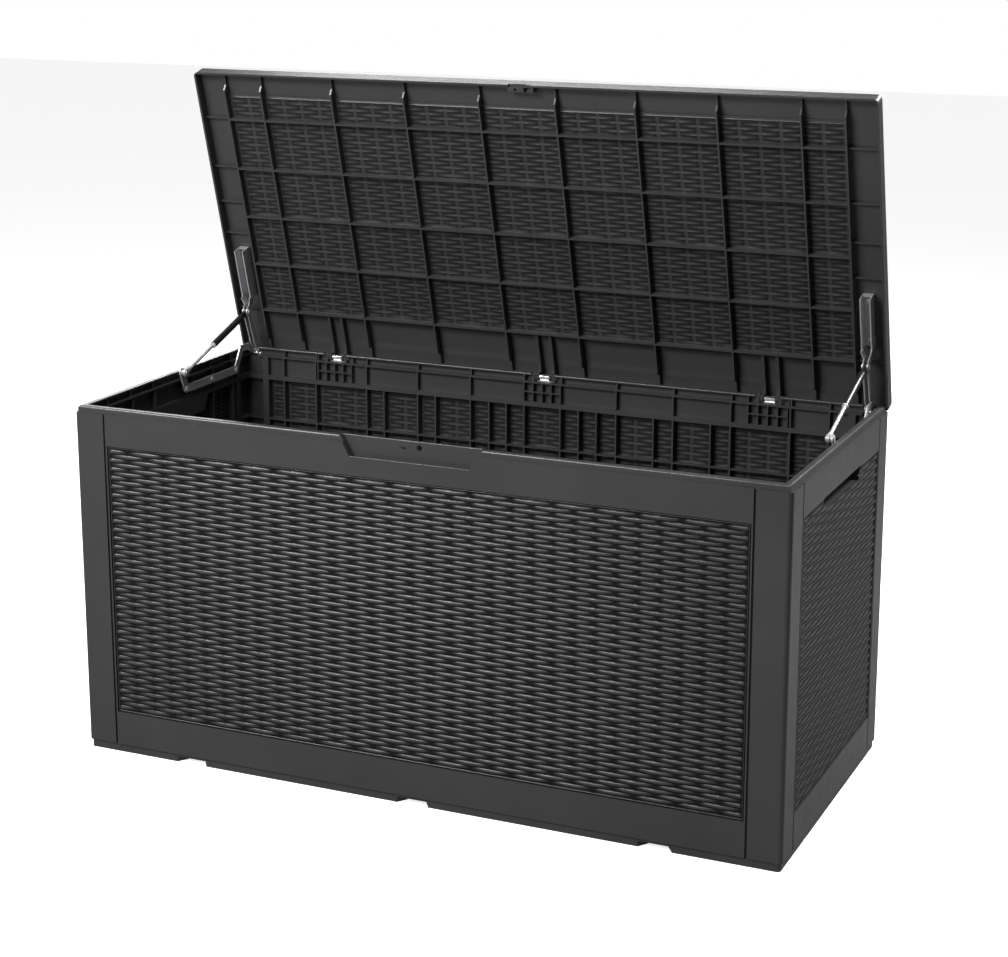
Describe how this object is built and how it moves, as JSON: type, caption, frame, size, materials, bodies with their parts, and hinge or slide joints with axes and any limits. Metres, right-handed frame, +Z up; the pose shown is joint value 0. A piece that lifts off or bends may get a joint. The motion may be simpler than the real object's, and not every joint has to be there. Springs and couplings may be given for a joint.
{
  "type": "deck storage box",
  "caption": "Long garden storage box with wicker-look plastic walls and a ribbed lid held open by a gas strut stay at each end.",
  "frame": {"origin": "on the ground, under the middle of the box's base", "axes": "+X along the length, to the right as seen from the front; -Y towards the front, where the lid opens; +Z up"},
  "size_m": [1.21, 0.5594, 1.1034],
  "materials": {
    "wall_plastic": "matt, fine moulded grain",
    "lid_plastic": "matt, fine moulded grain",
    "tube_paint": "satin black",
    "zinc_steel": "zinc plated",
    "bright_steel": "bright"
  },
  "bodies": {
    "box": {"base_tray": "wall_plastic", "front_panel": "wall_plastic", "back_panel": "wall_plastic", "left_side_panel": "wall_plastic", "right_side_panel": "wall_plastic", "hinge_pin_left": "bright_steel", "hinge_pin_middle": "bright_steel", "hinge_pin_right": "bright_steel", "left_box_bracket": "zinc_steel", "right_box_bracket": "zinc_steel", "left_ball_stud": "bright_steel", "right_ball_stud": "bright_steel", "left_pivot_rivet": "bright_steel", "right_pivot_rivet": "bright_steel", "left_box_bracket_screws": "bright_steel", "right_box_bracket_screws": "bright_steel"},
    "lid": {"lid_panel": "lid_plastic", "left_lid_bracket": "zinc_steel", "right_lid_bracket": "zinc_steel", "left_strut_pin": "bright_steel", "right_strut_pin": "bright_steel", "left_lid_bracket_screws": "bright_steel", "right_lid_bracket_screws": "bright_steel"},
    "left_strut": {"left_strut_tube": "tube_paint", "left_strut_guide": "bright_steel"},
    "left_rod": {"left_strut_rod": "bright_steel", "left_strut_piston": "bright_steel", "left_rod_end": "zinc_steel"},
    "right_strut": {"right_strut_tube": "tube_paint", "right_strut_guide": "bright_steel"},
    "right_rod": {"right_strut_rod": "bright_steel", "right_strut_piston": "bright_steel", "right_rod_end": "zinc_steel"}
  },
  "joints": [
    {"name": "lid_hinge", "type": "hinge", "parent": "box", "child": "lid", "pos_m": [0, 0.263, 0.583], "axis": [1, 0, 0], "range_deg": [0, 74.5]},
    {"name": "left_strut_swing", "type": "hinge", "parent": "lid", "child": "left_strut", "pos_m": [-0.574, 0.23078, 0.65916], "axis": [1, 0, 0], "range_deg": [-99.21, 0]},
    {"name": "left_rod_slide", "type": "slide", "parent": "left_strut", "child": "left_rod", "axis": [0, -0.9493, -0.3145], "range_m": [-0.0607, 0]},
    {"name": "right_strut_swing", "type": "hinge", "parent": "lid", "child": "right_strut", "pos_m": [0.574, 0.23078, 0.65916], "axis": [1, 0, 0], "range_deg": [-99.21, 0]},
    {"name": "right_rod_slide", "type": "slide", "parent": "right_strut", "child": "right_rod", "axis": [0, -0.9493, -0.3145], "range_m": [-0.0607, 0]}
  ],
  "couplings": [
    {"joint": "left_strut_swing", "follows": "lid_hinge", "ratio": -1.325},
    {"joint": "left_rod_slide", "follows": "lid_hinge", "m_per_rad": -0.04633},
    {"joint": "right_strut_swing", "follows": "lid_hinge", "ratio": -1.325},
    {"joint": "right_rod_slide", "follows": "lid_hinge", "m_per_rad": -0.04633}
  ]
}
